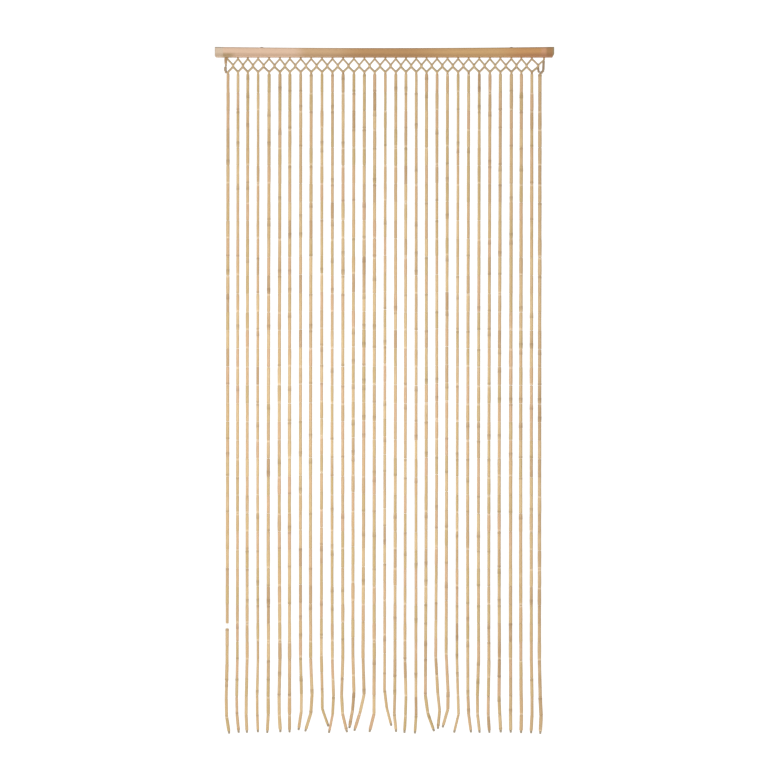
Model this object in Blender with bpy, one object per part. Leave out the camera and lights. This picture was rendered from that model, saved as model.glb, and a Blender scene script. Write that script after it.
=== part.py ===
"""Bead door curtain on a wooden rail.

A wooden rail with two steel hanger plates let into its back carries one row of
thin linked tubes in a diamond lattice, and 31 strands of bamboo tubes on thread
hang from the lattice's lower points.

Metres, +Z up. The origin is the middle of the rail's flat back, and the front
of the curtain faces -Y. A "drop" is a height measured down from the rail's
underside.
"""

import math
from typing import NamedTuple

import bmesh
import bpy

MM = 0.001

# Rail: a straight bar with a softly rounded front and a slightly hollow top edge.
RAIL_LENGTH = 988 * MM
RAIL_HEIGHT = 30 * MM
RAIL_DEPTH = 18 * MM
RAIL_TOP_HOLLOW = 3.5 * MM
RAIL_TOP_STEPS = 12
RAIL_FRONT_ROUND = 4 * MM
RAIL_ROUND_SEGMENTS = 4
RAIL_LEFT_CORNER = 4 * MM
RAIL_RIGHT_CORNER_WIDTH = 5 * MM
RAIL_RIGHT_CORNER_HEIGHT = 9 * MM

# Holes bored up into the rail's underside, one for each root of the lattice.
HOLE_DIAMETER = 6.4 * MM
HOLE_DEPTH = 12 * MM
HOLE_SIDES = 8

# Hanger plates: round-topped steel plates let into the rail's back.
PLATE_WIDTH = 24 * MM
PLATE_HEIGHT = 24 * MM
PLATE_THICKNESS = 1.5 * MM
PLATE_TOP = 16.4 * MM
PLATE_ARC_STEPS = 14
PLATE_CENTRES = {"hanger_left": -358 * MM, "hanger_right": 370 * MM}
FIT_GAP = 0.3 * MM
CUTTER_MARGIN = 4 * MM

# Lattice: drops of its points and half thicknesses of its tubes.
STRAND_PITCH = 30.5 * MM
FIRST_STRAND = -456.5 * MM
ROOT_TOP = -10 * MM
PEG_FOOT = 0.8 * MM
ROOT_DROP = 4.5 * MM
CROSSING_TOP = 22.5 * MM
CROSSING_BOTTOM = 27.5 * MM
POINT_DROP = 42.5 * MM
NECK_DROP = 46.5 * MM
PEG_HALF = 2.2 * MM
ROOT_HALF = 2.6 * MM
CROSSING_HALF = 3.4 * MM
POINT_HALF = 3.1 * MM
NECK_HALF = 2.6 * MM
LAST_POINT_HALF = 2.2 * MM
LAST_NECK_HALF = 1.5 * MM

# Ends of the lattice, where a tube runs straight down beside the first and last strands.
LEFT_ROOT = -457.5 * MM
LEFT_TUBE = -462 * MM
LEFT_TUBE_TOP = 12 * MM
LEFT_TUBE_BOTTOM = 36 * MM
LEFT_TUBE_HALF = 3.6 * MM
RIGHT_ROOT = 464.5 * MM
RIGHT_ROOT_DROP = 7.5 * MM
RIGHT_TUBE = 462.5 * MM
RIGHT_TUBE_TOP = 17 * MM
RIGHT_TUBE_BOTTOM = 37 * MM
RIGHT_TUBE_HALF = 3.1 * MM
RIGHT_TUBE_HEEL = 460.5 * MM
RIGHT_TUBE_HEEL_DROP = 43 * MM
LAST_CROSSING = 447.5 * MM
LAST_POINT_DROP = 45 * MM

# Strands: 36 bamboo tubes each, end to end.
BEADS = 36
STRAND_TOP = 49 * MM
STRAND_LENGTH = 1921 * MM
JOINT_HALF_HEIGHT = 1.6 * MM
JOINT_WAIST = 0.45
THREAD_HALF = 1 * MM
OPEN_JOINT_STRAND = 0
OPEN_JOINT = 30
OPEN_JOINT_DROP = 1654 * MM
OPEN_JOINT_GAP = 17 * MM
STRAIGHT_BEADS = 32
# Makes a bow reach its value where it is largest, two thirds of the way down.
BOW_GROWTH = 27 / 4

# Spreads the parted joints over the strands without a row or a slant that shows.
PARTED_STEP = 7
PARTED_SHIFT = 5
PARTED_CYCLE = 11
PARTED_SHARE = 3


class Strand(NamedTuple):
    """How one strand hangs, in millimetres, sideways values to the right.

    shift: from its place at the even pitch. lean: by four beads above its tip,
    and bow: how far it swings out on the way there. two_up, one_up, tip:
    sideways at the two lowest joints and the tip.
    short: how far its tip ends above the longest. back: how far the tip hangs
    behind the plane of the others, or before it if negative. bead: diameter of
    its tubes.
    """

    shift: float
    lean: float
    bow: float
    two_up: float
    one_up: float
    tip: float
    short: float
    back: float
    bead: float


STRANDS = (
    Strand(shift=1, lean=-3, bow=0.5, two_up=-5.5, one_up=-4.5, tip=3.5, short=0.5, back=0, bead=9),
    Strand(shift=-0.5, lean=-2, bow=0, two_up=-4, one_up=-3, tip=2, short=3, back=0, bead=8),
    Strand(shift=-2.5, lean=-2, bow=-0.5, two_up=-4.5, one_up=-5, tip=-2.5, short=3, back=0, bead=8.5),
    Strand(shift=-3, lean=-0.5, bow=-1, two_up=-3, one_up=-2.5, tip=-0.5, short=4.5, back=0, bead=7.5),
    Strand(shift=-1.5, lean=-2, bow=-1, two_up=-3, one_up=-2.5, tip=-5.5, short=2.5, back=0, bead=9),
    Strand(shift=-0.5, lean=0, bow=-2, two_up=-2.5, one_up=-2, tip=1.5, short=4.5, back=0, bead=9),
    Strand(shift=-2, lean=-1, bow=-0.5, two_up=-1, one_up=-1, tip=-1, short=4, back=0, bead=9),
    Strand(shift=-1, lean=-0.5, bow=-0.5, two_up=2, one_up=1.5, tip=-6.5, short=10.5, back=0, bead=8.5),
    Strand(shift=-1, lean=-1.5, bow=-1, two_up=2.5, one_up=-1, tip=-17.5, short=7, back=0, bead=9),
    Strand(shift=0, lean=-2, bow=0, two_up=0.5, one_up=0.5, tip=18.5, short=21, back=4.8, bead=8),
    Strand(shift=0, lean=-0.5, bow=-1, two_up=3, one_up=0.5, tip=-10.5, short=3, back=-4.8, bead=8),
    Strand(shift=0.5, lean=-1, bow=-0.5, two_up=-4.5, one_up=-1.5, tip=11.5, short=5, back=-3.5, bead=8.5),
    Strand(shift=1.5, lean=-3, bow=-0.5, two_up=0, one_up=-4, tip=-13.5, short=16, back=4.6, bead=8.5),
    Strand(shift=1.5, lean=-4, bow=0.5, two_up=-1, one_up=-13, tip=-29.5, short=8.5, back=0, bead=9),
    Strand(shift=1, lean=-1.5, bow=-0.5, two_up=-2, one_up=-2, tip=-15.5, short=5, back=0, bead=9),
    Strand(shift=1.5, lean=-2, bow=-0.5, two_up=-2.5, one_up=4, tip=17.5, short=23, back=4, bead=7.5),
    Strand(shift=1.5, lean=-2.5, bow=0, two_up=-3, one_up=-4.5, tip=1, short=5.5, back=0, bead=8.5),
    Strand(shift=0.5, lean=-3, bow=0, two_up=0, one_up=-1.5, tip=-4.5, short=2.5, back=0, bead=8),
    Strand(shift=0, lean=-1, bow=0, two_up=-1, one_up=-0.5, tip=-4, short=1, back=0, bead=8),
    Strand(shift=-0.5, lean=-3, bow=1, two_up=-3.5, one_up=3.5, tip=22, short=7.5, back=0, bead=8.5),
    Strand(shift=-0.5, lean=-4, bow=1.5, two_up=2, one_up=7.5, tip=2.5, short=14, back=4, bead=8),
    Strand(shift=-0.5, lean=-4, bow=0, two_up=1.5, one_up=1, tip=-14.5, short=19, back=-4, bead=8.5),
    Strand(shift=0, lean=-3.5, bow=-0.5, two_up=-0.5, one_up=1, tip=-12, short=3.5, back=0, bead=7.5),
    Strand(shift=0, lean=-2.5, bow=-1, two_up=-2, one_up=0, tip=7, short=4, back=0, bead=8.5),
    Strand(shift=0.5, lean=-2, bow=-1, two_up=-5.5, one_up=-5, tip=1, short=3, back=0, bead=8.5),
    Strand(shift=1, lean=-3, bow=-1, two_up=-4.5, one_up=-5, tip=-1.5, short=3, back=0, bead=8.5),
    Strand(shift=1, lean=-3, bow=-1.5, two_up=-4, one_up=-2, tip=1, short=4, back=0, bead=9),
    Strand(shift=2.5, lean=-2.5, bow=-0.5, two_up=-2, one_up=-2.5, tip=-2, short=3.5, back=0, bead=9.5),
    Strand(shift=1, lean=-1.5, bow=-1, two_up=-0.5, one_up=0, tip=-1, short=2, back=0, bead=9.5),
    Strand(shift=1, lean=-1.5, bow=-0.5, two_up=0.5, one_up=0.5, tip=-2.5, short=1.5, back=0, bead=9),
    Strand(shift=-6, lean=-1.5, bow=0, two_up=1, one_up=3.5, tip=1, short=0, back=0, bead=9),
)

# Colour, roughness and metallic value of each finish.
WOOD = ((0.56, 0.34, 0.19), 0.5, 0.0)
BAMBOO = ((0.55, 0.42, 0.28), 0.45, 0.0)
STEEL = ((0.25, 0.25, 0.24), 0.4, 1.0)


class Point(NamedTuple):
    """A point of the curtain as drawn flat from the front, where bars meet or end."""

    x: float
    drop: float
    half: float
    back: float = 0


def clear_scene():
    for obj in list(bpy.data.objects):
        bpy.data.objects.remove(obj, do_unlink=True)


def make_material(name, finish):
    colour, roughness, metallic = finish
    material = bpy.data.materials.new(name)
    material.use_nodes = True
    shader = material.node_tree.nodes["Principled BSDF"]
    shader.inputs["Base Color"].default_value = (*colour, 1)
    shader.inputs["Roughness"].default_value = roughness
    shader.inputs["Metallic"].default_value = metallic
    return material


def make_object(name, bm, material=None):
    """Turn a bmesh into a named object, with its faces pointing out."""
    bmesh.ops.recalc_face_normals(bm, faces=bm.faces[:])
    mesh = bpy.data.meshes.new(name)
    bm.to_mesh(mesh)
    bm.free()
    obj = bpy.data.objects.new(name, mesh)
    bpy.context.scene.collection.objects.link(obj)
    if material:
        mesh.materials.append(material)
    return obj


def make_cutter(name, bm):
    cutter = make_object(name, bm)
    cutter.hide_render = True
    cutter.display_type = "WIRE"
    return cutter


def cut(obj, cutter):
    modifier = obj.modifiers.new(cutter.name, "BOOLEAN")
    modifier.operation = "DIFFERENCE"
    modifier.solver = "EXACT"
    modifier.object = cutter


def extruded(outline, front, depth):
    """A bmesh of an outline of (x, z) points, extruded backwards from y = front."""
    bm = bmesh.new()
    face = bm.faces.new([bm.verts.new((x, front, z)) for x, z in outline])
    grown = bmesh.ops.extrude_face_region(bm, geom=[face])
    moved = [item for item in grown["geom"] if isinstance(item, bmesh.types.BMVert)]
    bmesh.ops.translate(bm, verts=moved, vec=(0, depth, 0))
    return bm


def strand_x(number):
    """Where a strand leaves the lattice, from the left."""
    return FIRST_STRAND + number * STRAND_PITCH + STRANDS[number].shift * MM


def root_x(number):
    if number == 0:
        return LEFT_ROOT
    if number == len(STRANDS) - 1:
        return RIGHT_ROOT
    return strand_x(number)


def rail_outline():
    """The rail from the front: cut lower corners and a hollow top edge."""
    end = RAIL_LENGTH / 2
    low = -RAIL_HEIGHT / 2
    high = RAIL_HEIGHT / 2
    points = [
        (-end, low + RAIL_LEFT_CORNER),
        (-end + RAIL_LEFT_CORNER, low),
        (end - RAIL_RIGHT_CORNER_WIDTH, low),
        (end, low + RAIL_RIGHT_CORNER_HEIGHT),
    ]
    for step in range(RAIL_TOP_STEPS + 1):
        along = 1 - 2 * step / RAIL_TOP_STEPS
        points.append((along * end, high - RAIL_TOP_HOLLOW * (1 - along**2)))
    return points


def root_holes():
    """Cylinders that bore the lattice's holes into the rail's underside."""
    bm = bmesh.new()
    middle = -RAIL_HEIGHT / 2 + (HOLE_DEPTH - CUTTER_MARGIN) / 2
    for number in range(len(STRANDS)):
        made = bmesh.ops.create_cone(
            bm,
            cap_ends=True,
            segments=HOLE_SIDES,
            radius1=HOLE_DIAMETER / 2,
            radius2=HOLE_DIAMETER / 2,
            depth=HOLE_DEPTH + CUTTER_MARGIN,
        )
        place = (root_x(number), -RAIL_DEPTH / 2, middle)
        bmesh.ops.translate(bm, verts=made["verts"], vec=place)
    return make_cutter("root_hole_cutter", bm)


def plate_recess(centre):
    """A slot in the rail's back, open at the top, that a hanger plate lies in."""
    half = PLATE_WIDTH / 2 + FIT_GAP
    low = PLATE_TOP - PLATE_HEIGHT - FIT_GAP
    high = PLATE_TOP + CUTTER_MARGIN
    deep = PLATE_THICKNESS + 2 * FIT_GAP
    outline = [
        (centre - half, low),
        (centre + half, low),
        (centre + half, high),
        (centre - half, high),
    ]
    return make_cutter("recess_cutter", extruded(outline, -deep, deep + CUTTER_MARGIN))


def build_rail(material):
    bm = extruded(rail_outline(), -RAIL_DEPTH, RAIL_DEPTH)
    front = -RAIL_DEPTH + MM
    edges = [edge for edge in bm.edges if all(v.co.y < front for v in edge.verts)]
    bmesh.ops.bevel(
        bm,
        geom=edges,
        offset=RAIL_FRONT_ROUND,
        segments=RAIL_ROUND_SEGMENTS,
        profile=0.5,
        affect="EDGES",
    )
    rail = make_object("rail", bm, material)
    cut(rail, root_holes())
    for centre in PLATE_CENTRES.values():
        cut(rail, plate_recess(centre))


def build_hangers(material):
    """Plates with a half-round top, a little below the plane of the rail's back."""
    radius = PLATE_WIDTH / 2
    low = PLATE_TOP - PLATE_HEIGHT
    outline = [(-radius, low), (radius, low)]
    for step in range(PLATE_ARC_STEPS + 1):
        turn = math.pi * step / PLATE_ARC_STEPS
        height = PLATE_TOP - radius + radius * math.sin(turn)
        outline.append((radius * math.cos(turn), height))
    front = -FIT_GAP - PLATE_THICKNESS
    for name, centre in PLATE_CENTRES.items():
        bm = extruded(outline, front, PLATE_THICKNESS)
        plate = make_object(name, bm, material)
        plate.location.x = centre


def add_run(points, bars, run, start=None, end=None):
    """Add points one after another, joined by bars, between two points if given."""
    first = len(points)
    points.extend(run)
    numbers = list(range(first, len(points)))
    if start is not None:
        numbers.insert(0, start)
    if end is not None:
        numbers.append(end)
    bars.extend(zip(numbers, numbers[1:]))
    return numbers


def lattice(points, bars):
    """Add the diamond lattice, and return the numbers of its lower points."""
    last = len(STRANDS) - 1
    roots = []
    tips = []
    for number in range(len(STRANDS)):
        drop = RIGHT_ROOT_DROP if number == last else ROOT_DROP
        root = [
            Point(root_x(number), ROOT_TOP, PEG_HALF),
            Point(root_x(number), PEG_FOOT, PEG_HALF),
            Point(root_x(number), drop, ROOT_HALF),
        ]
        roots.append(add_run(points, bars, root)[-1])
        tip = Point(strand_x(number), POINT_DROP, POINT_HALF)
        if number == last:
            tip = Point(strand_x(number), LAST_POINT_DROP, LAST_POINT_HALF)
        tips.append(add_run(points, bars, [tip])[0])

    for number in range(last):
        x = (strand_x(number) + strand_x(number + 1)) / 2
        if number == last - 1:
            x = LAST_CROSSING
        crossing = [
            Point(x, CROSSING_TOP, CROSSING_HALF),
            Point(x, CROSSING_BOTTOM, CROSSING_HALF),
        ]
        top, bottom = add_run(points, bars, crossing)
        bars += [(roots[number], top), (roots[number + 1], top)]
        bars += [(bottom, tips[number]), (bottom, tips[number + 1])]

    left = [
        Point(LEFT_TUBE, LEFT_TUBE_TOP, LEFT_TUBE_HALF),
        Point(LEFT_TUBE, LEFT_TUBE_BOTTOM, LEFT_TUBE_HALF),
    ]
    add_run(points, bars, left, roots[0], tips[0])
    right = [
        Point(RIGHT_TUBE, RIGHT_TUBE_TOP, RIGHT_TUBE_HALF),
        Point(RIGHT_TUBE, RIGHT_TUBE_BOTTOM, RIGHT_TUBE_HALF),
        Point(RIGHT_TUBE_HEEL, RIGHT_TUBE_HEEL_DROP, RIGHT_TUBE_HALF),
    ]
    add_run(points, bars, right, roots[last], tips[last])
    return tips


def sway(strand, joint):
    """(sideways, back) of a strand at one of its joints, counted from the top."""
    along = min(joint / STRAIGHT_BEADS, 1)
    lean = strand.lean * along + strand.bow * BOW_GROWTH * along**2 * (1 - along)
    low = [lean, (strand.lean + strand.two_up) / 2, strand.two_up, strand.one_up, strand.tip]
    sideways = low[max(joint - STRAIGHT_BEADS, 0)]
    back = strand.back * max(joint - BEADS + 2, 0) / 2
    return sideways * MM, back * MM


def is_parted(number, joint):
    """Whether two tubes stand visibly apart at this joint, as about one in four do."""
    return (PARTED_STEP * joint + PARTED_SHIFT * number) % PARTED_CYCLE < PARTED_SHARE


def joint_profile(number, joint, half):
    """(height from the joint's middle, half thickness) of each ring at a joint."""
    if number == OPEN_JOINT_STRAND and joint == OPEN_JOINT:
        reach = OPEN_JOINT_GAP / 2
        return [(-reach, half), (-reach, THREAD_HALF), (reach, THREAD_HALF), (reach, half)]
    if is_parted(number, joint):
        reach = JOINT_HALF_HEIGHT
        return [(-reach, half), (0, half * JOINT_WAIST), (reach, half)]
    if joint >= STRAIGHT_BEADS:
        return [(0, half)]
    return []


def joint_drop(number, joint, length):
    """The drop of a joint's middle. The open joint parts its strand in two even rows."""
    if number != OPEN_JOINT_STRAND:
        return STRAND_TOP + joint * length / BEADS
    if joint == OPEN_JOINT:
        return OPEN_JOINT_DROP
    if joint < OPEN_JOINT:
        above = OPEN_JOINT_DROP - OPEN_JOINT_GAP / 2 - STRAND_TOP
        return STRAND_TOP + joint * above / OPEN_JOINT
    below = STRAND_TOP + length - OPEN_JOINT_DROP - OPEN_JOINT_GAP / 2
    return STRAND_TOP + length - (BEADS - joint) * below / (BEADS - OPEN_JOINT)


def strand_points(number, strand):
    """The rings of one strand, from the lattice to its tip."""
    x = strand_x(number)
    half = strand.bead * MM / 2
    length = STRAND_LENGTH - strand.short * MM
    neck = LAST_NECK_HALF if number == len(STRANDS) - 1 else NECK_HALF
    points = [Point(x, NECK_DROP, neck), Point(x, STRAND_TOP, half)]
    for joint in range(1, BEADS):
        sideways, back = sway(strand, joint)
        drop = joint_drop(number, joint, length)
        for height, ring_half in joint_profile(number, joint, half):
            points.append(Point(x + sideways, drop + height, ring_half, back))
    sideways, back = sway(strand, BEADS)
    points.append(Point(x + sideways, STRAND_TOP + length, half, back))
    return points


def direction(start, end):
    return math.atan2(start.drop - end.drop, end.x - start.x)


def corner(bm, point, turn, reach, layers):
    """A corner of the flat drawing, which keeps its point's thickness and depth."""
    x = point.x + reach * math.cos(turn)
    z = -RAIL_HEIGHT / 2 - point.drop + reach * math.sin(turn)
    vert = bm.verts.new((x, 0, z))
    vert[layers["half"]] = point.half
    vert[layers["back"]] = point.back
    return vert


def corners_at(bm, point, turns, layers):
    """The corners between bars that leave a point at these turns, counterclockwise."""
    if len(turns) == 1:
        sides = (turns[0] + math.pi / 2, turns[0] - math.pi / 2)
        return [corner(bm, point, side, point.half, layers) for side in sides]
    corners = []
    for turn, following in zip(turns, turns[1:] + turns[:1]):
        spread = (following - turn) % math.tau / 2
        reach = point.half / math.sin(spread)
        corners.append(corner(bm, point, turn + spread, reach, layers))
    return corners


def draw_flat(points, bars, bm, layers):
    """Draw bars of each point's thickness, mitred together where they meet."""
    ends = {number: [] for number in range(len(points))}
    for start, end in bars:
        ends[start].append(end)
        ends[end].append(start)
    sides = {}
    for number, point in enumerate(points):
        ways = sorted((direction(point, points[end]), end) for end in ends[number])
        corners = corners_at(bm, point, [turn for turn, _ in ways], layers)
        for place, (_, end) in enumerate(ways):
            sides[number, end] = (corners[place - 1], corners[place])
        if len(ways) > 2:
            bm.faces.new(corners)
    for start, end in bars:
        right, left = sides[start, end]
        far_right, far_left = sides[end, start]
        bm.faces.new([right, far_left, far_right, left])


def build_bead_curtain(material):
    """The lattice and its strands, drawn flat and then given their depth."""
    points = []
    bars = []
    tips = lattice(points, bars)
    for number, strand in enumerate(STRANDS):
        add_run(points, bars, strand_points(number, strand), start=tips[number])

    bm = bmesh.new()
    layers = {name: bm.verts.layers.float.new(name) for name in ("half", "back")}
    draw_flat(points, bars, bm, layers)
    grown = bmesh.ops.extrude_face_region(bm, geom=bm.faces[:])
    behind = {item for item in grown["geom"] if isinstance(item, bmesh.types.BMVert)}
    for vert in bm.verts:
        half = vert[layers["half"]]
        side = half if vert in behind else -half
        vert.co.y = -RAIL_DEPTH / 2 + vert[layers["back"]] + side
    bmesh.ops.triangulate(bm, faces=bm.faces[:])
    make_object("bead_curtain", bm, material)


def main():
    clear_scene()
    build_rail(make_material("wood", WOOD))
    build_hangers(make_material("steel", STEEL))
    build_bead_curtain(make_material("bamboo", BAMBOO))


main()
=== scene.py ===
# %% [markdown]
# # A bead door curtain on a wooden rail
#
# The real curtain is a straight wooden rail with bamboo tubes threaded under it.
# Just below the rail, thin tubes are linked into one row of diamonds, and from the
# lower point of each diamond hangs a strand of 36 longer tubes. Nothing is glued:
# each tube is free on its thread, so tubes turn, part a little and lean.
#
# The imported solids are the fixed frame. This script dresses them: it reads from
# the frame where each strand runs, and threads modelled tubes along those lines.

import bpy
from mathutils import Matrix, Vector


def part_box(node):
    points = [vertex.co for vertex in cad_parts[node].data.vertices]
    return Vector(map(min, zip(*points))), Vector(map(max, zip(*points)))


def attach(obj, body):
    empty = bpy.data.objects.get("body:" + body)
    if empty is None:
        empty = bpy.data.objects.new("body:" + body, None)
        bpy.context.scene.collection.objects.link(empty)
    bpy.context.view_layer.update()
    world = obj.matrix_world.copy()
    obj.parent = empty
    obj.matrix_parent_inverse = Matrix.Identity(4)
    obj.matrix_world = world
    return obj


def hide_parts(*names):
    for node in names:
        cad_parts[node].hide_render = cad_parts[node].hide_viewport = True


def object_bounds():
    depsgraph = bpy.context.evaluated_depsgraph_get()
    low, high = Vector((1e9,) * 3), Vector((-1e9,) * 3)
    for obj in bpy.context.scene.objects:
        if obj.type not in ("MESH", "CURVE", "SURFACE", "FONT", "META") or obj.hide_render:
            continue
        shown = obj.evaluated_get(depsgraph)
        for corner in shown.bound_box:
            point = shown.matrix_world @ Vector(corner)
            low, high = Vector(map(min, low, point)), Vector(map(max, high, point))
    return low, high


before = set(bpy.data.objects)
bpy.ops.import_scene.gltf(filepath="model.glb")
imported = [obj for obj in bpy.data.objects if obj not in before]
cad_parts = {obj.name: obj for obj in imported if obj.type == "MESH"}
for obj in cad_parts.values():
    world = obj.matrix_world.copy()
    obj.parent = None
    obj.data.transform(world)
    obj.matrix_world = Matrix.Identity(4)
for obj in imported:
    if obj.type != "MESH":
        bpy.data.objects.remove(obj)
frame_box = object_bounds()
rail_low, rail_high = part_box("rail")
print("frame box", [tuple(round(value, 4) for value in corner) for corner in frame_box])

# %% Modules and units
import math
import random
from typing import NamedTuple

import bmesh
import bpy
import numpy as np
from mathutils import Vector

MM = 0.001
print("rail, mm:", [round(value / MM, 1) for value in rail_high - rail_low])

# %% [markdown]
# ## Working as by hand
#
# An operator acts on all that is selected, and the frame arrives selected, so each
# step first deselects everything. In edit mode, what an operator should reach is
# picked by its place, as one would box-select it in a side view.


# %% Selection helpers
def only(obj):
    """Select one object, and make it the active one."""
    bpy.ops.object.select_all(action="DESELECT")
    obj.select_set(True)
    bpy.context.view_layer.objects.active = obj


def pick(kind, wanted):
    """In edit mode, select the VERT, EDGE or FACE items all of whose points pass a test."""
    bpy.ops.mesh.select_mode(type=kind)
    bpy.ops.mesh.select_all(action="DESELECT")
    mesh = bpy.context.object.data
    bm = bmesh.from_edit_mesh(mesh)
    items = {"VERT": bm.verts, "EDGE": bm.edges, "FACE": bm.faces}[kind]
    for item in items:
        points = [item.co] if kind == "VERT" else [vert.co for vert in item.verts]
        if all(wanted(point) for point in points):
            item.select_set(True)
    bmesh.update_edit_mesh(mesh)


def slice_all(place, normal, **cuts):
    """In edit mode, cut the whole mesh along a plane. A very short normal would cut nothing."""
    bpy.ops.mesh.select_all(action="SELECT")
    bpy.ops.mesh.bisect(plane_co=place, plane_no=Vector(normal).normalized(), **cuts)


def apply_modifier(obj, kind, **settings):
    """Add a modifier, set it and apply it at once."""
    only(obj)
    modifier = obj.modifiers.new(kind.lower(), kind)
    for name, value in settings.items():
        setattr(modifier, name, value)
    bpy.ops.object.modifier_apply(modifier=modifier.name)


def smooth(obj, degrees):
    """Shade smooth, but keep edges sharper than an angle."""
    only(obj)
    bpy.ops.object.shade_smooth_by_angle(angle=math.radians(degrees))


bpy.ops.object.select_all(action="DESELECT")
print("nothing is selected:", len(bpy.context.selected_objects) == 0)

# %% [markdown]
# ## Camera
#
# The photograph looks straight at the curtain's middle from far off, so the rail
# and the strands stay parallel to the frame. The curtain's 2 m fill 687 of the
# picture's 770 pixels, which gives the scale, and the scale gives the lens.

# %% Camera at the photograph's angle
MM_PER_PIXEL = 2.912
PICTURE_PIXELS = 770
RAIL_UNDERSIDE_ROW = 57.4
RAIL_MIDDLE_COLUMN = 384.5
CAMERA_DISTANCE = 7.0

curtain_plane = (rail_low.y + rail_high.y) / 2
middle = PICTURE_PIXELS / 2
camera_data = bpy.data.cameras.new("camera")
camera_data.lens = camera_data.sensor_width * CAMERA_DISTANCE / (MM_PER_PIXEL * PICTURE_PIXELS * MM)
camera = bpy.data.objects.new("camera", camera_data)
camera.location = (
    (middle - RAIL_MIDDLE_COLUMN) * MM_PER_PIXEL * MM,
    curtain_plane - CAMERA_DISTANCE,
    rail_low.z - (middle - RAIL_UNDERSIDE_ROW) * MM_PER_PIXEL * MM,
)
camera.rotation_euler = (math.radians(90), 0, 0)
bpy.context.scene.collection.objects.link(camera)
bpy.context.scene.camera = camera
print("lens, mm:", round(camera_data.lens, 1), "camera height, m:", round(camera.location.z, 3))

# %% [markdown]
# ## Sums on materials
#
# A finish is a recipe: so much of this noise, times that mask. Wiring each Math
# node by hand hides the recipe, so a small class wraps a socket and lets ordinary
# Python sums add the nodes.


# %% A wire and a finish
class Wire:
    """An output socket in a finish. Sums on it add Math nodes."""

    def __init__(self, finish, socket):
        self.finish = finish
        self.socket = socket

    def _sum(self, operation, first, second):
        return self.finish.node("ShaderNodeMath", {"operation": operation}, {0: first, 1: second})

    def __add__(self, other):
        return self._sum("ADD", self, other)

    def __sub__(self, other):
        return self._sum("SUBTRACT", self, other)

    def __mul__(self, other):
        return self._sum("MULTIPLY", self, other)

    def __rsub__(self, other):
        return self._sum("SUBTRACT", other, self)

    __radd__ = __add__
    __rmul__ = __mul__


class Finish:
    """A material being made, with one Principled shader."""

    def __init__(self, name, **constants):
        self.material = bpy.data.materials.new(name)
        self.material.use_nodes = True
        self.tree = self.material.node_tree
        self.shader = self.tree.nodes["Principled BSDF"]
        for socket, value in constants.items():
            self.shader.inputs[socket.replace("_", " ")].default_value = value

    def node(self, kind, settings, sockets, output=0):
        """Add a node: settings first, then the values or wires of its sockets."""
        made = self.tree.nodes.new(kind)
        for name, value in settings.items():
            setattr(made, name, value)
        for key, value in sockets.items():
            if isinstance(value, Wire):
                self.tree.links.new(value.socket, made.inputs[key])
            else:
                made.inputs[key].default_value = value
        return Wire(self, made.outputs[output])

    def place(self):
        """The point's place in the curtain, in metres."""
        return self.node("ShaderNodeTexCoord", {}, {}, "Object")

    def read(self, attribute, output="Fac"):
        """A value that the mesh carries."""
        return self.node("ShaderNodeAttribute", {"attribute_name": attribute}, {}, output)

    def noise(self, vector, scale, detail=2.0, stretch=(1, 1, 1)):
        """Noise from 0 to 1, finer along an axis where stretch is larger."""
        moved = self.node("ShaderNodeMapping", {}, {"Vector": vector, "Scale": stretch})
        sockets = {"Vector": moved, "Scale": scale, "Detail": detail, "Roughness": 0.6}
        return self.node("ShaderNodeTexNoise", {}, sockets, "Fac")

    def steps(self, value, low, high):
        """0 below low, 1 above high and smooth between."""
        sockets = {"Value": value, "From Min": low, "From Max": high}
        return self.node("ShaderNodeMapRange", {"interpolation_type": "SMOOTHSTEP"}, sockets)

    def band(self, value, rise, fall):
        """1 between two places and 0 beyond them. rise and fall are a low and a high each."""
        return self.steps(value, *rise) * (1 - self.steps(value, *fall))

    def mix(self, share, first, second, how="MIX"):
        """Mix two colours."""
        settings = {"data_type": "RGBA", "blend_type": how}
        return self.node("ShaderNodeMix", settings, {0: share, 6: first, 7: second}, 2)

    def axis(self, vector, name):
        return self.node("ShaderNodeSeparateXYZ", {}, {0: vector}, name)

    def bump(self, height, strength, distance):
        """Raise the surface by a height, at a depth in metres."""
        sockets = {"Height": height, "Strength": strength, "Distance": distance}
        self.join(self.node("ShaderNodeBump", {}, sockets, "Normal"), "Normal")

    def join(self, wire, socket):
        self.tree.links.new(wire.socket, self.shader.inputs[socket])


def colour(red, green, blue):
    """A screen colour from 0 to 255 as the linear colour that shaders use."""
    parts = [value / 255 for value in (red, green, blue)]
    line = [part / 12.92 if part <= 0.04045 else ((part + 0.055) / 1.055) ** 2.4 for part in parts]
    return (*line, 1.0)


print("middle grey in linear light:", round(colour(128, 128, 128)[0], 3))

# %% [markdown]
# ## The rail's wood
#
# The rail is a light wood with a fine straight grain along its length and a thin
# clear finish. It is pale and pink at the left, tan further on and golden brown to
# the right: partly as one board can be from sapwood to heartwood, partly painted
# light that is brighter at the left. The grain is one noise, stretched along X and
# read at two scales: broad bands that drift, and fine pores that also dent the
# surface. The lower edge is darkened with painted shade. The left end is a paler
# block with a grey edge, an olive stain follows it, and painted shade turns the
# right end a dark olive. Each of these is a mask along the rail or up it, with its
# own colour.

# %% Tones and marks along the rail
# These tones are partly the board's own and partly painted light, brighter at the left.
WOOD_START = colour(220, 186, 158)
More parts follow.
